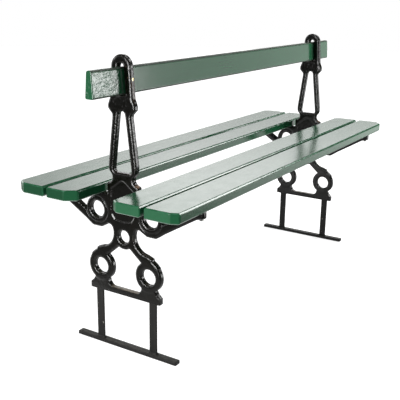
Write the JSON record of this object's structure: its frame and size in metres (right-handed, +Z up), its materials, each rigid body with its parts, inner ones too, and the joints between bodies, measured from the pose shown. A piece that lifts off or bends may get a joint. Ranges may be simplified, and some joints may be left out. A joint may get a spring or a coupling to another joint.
{
  "type": "park bench",
  "caption": "Double-sided park bench with cast iron end frames, wooden seat planks on both sides and a shared wedge-section back plank, standing on flat legs with ground bars.",
  "frame": {"origin": "on the ground under the middle of the bench, midway between the two end frames and between the two seats", "axes": "+X along the bench from the left end frame to the right one, +Y across the bench from the front seat to the rear seat, +Z up"},
  "size_m": [1.96, 0.701, 1.1],
  "materials": {
    "casting": "gloss black paint",
    "leg_steel": "matte black paint",
    "plank": "gloss dark green enamel",
    "seat_screw": "zinc plated",
    "back_screw": "satin"
  },
  "bodies": {
    "root": {"left_end_casting": "casting", "right_end_casting": "casting", "left_front_leg": "leg_steel", "left_rear_leg": "leg_steel", "right_front_leg": "leg_steel", "right_rear_leg": "leg_steel", "left_ground_bar": "leg_steel", "right_ground_bar": "leg_steel", "front_seat_inner_plank": "plank", "front_seat_outer_plank": "plank", "rear_seat_inner_plank": "plank", "rear_seat_outer_plank": "plank", "back_plank": "plank", "left_seat_screws": "seat_screw", "right_seat_screws": "seat_screw", "left_seat_washers": "seat_screw", "right_seat_washers": "seat_screw", "left_back_screws": "back_screw", "right_back_screws": "back_screw"}
  },
  "joints": []
}
